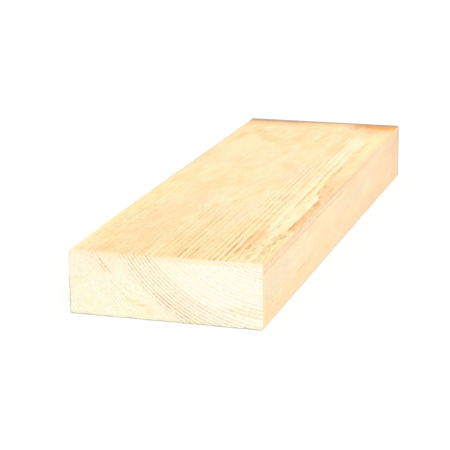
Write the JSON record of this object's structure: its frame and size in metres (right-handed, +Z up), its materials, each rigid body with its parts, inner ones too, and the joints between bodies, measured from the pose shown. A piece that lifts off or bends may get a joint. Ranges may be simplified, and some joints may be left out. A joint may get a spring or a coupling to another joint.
{
  "type": "sawn softwood plank",
  "caption": "Short flat length of sawn softwood board with a plain rectangular section, eased long corners and square crosscut ends.",
  "frame": {"origin": "centre of the underside, the broad face that the plank rests on", "axes": "+Y along the grain and the plank's length, +X across its width, +Z up through its thickness"},
  "size_m": [0.15, 0.47, 0.05],
  "materials": {
    "softwood": "bare planed pine, matt, cream end grain and warm straw long grain"
  },
  "bodies": {
    "root": {"plank": "softwood"}
  },
  "joints": []
}
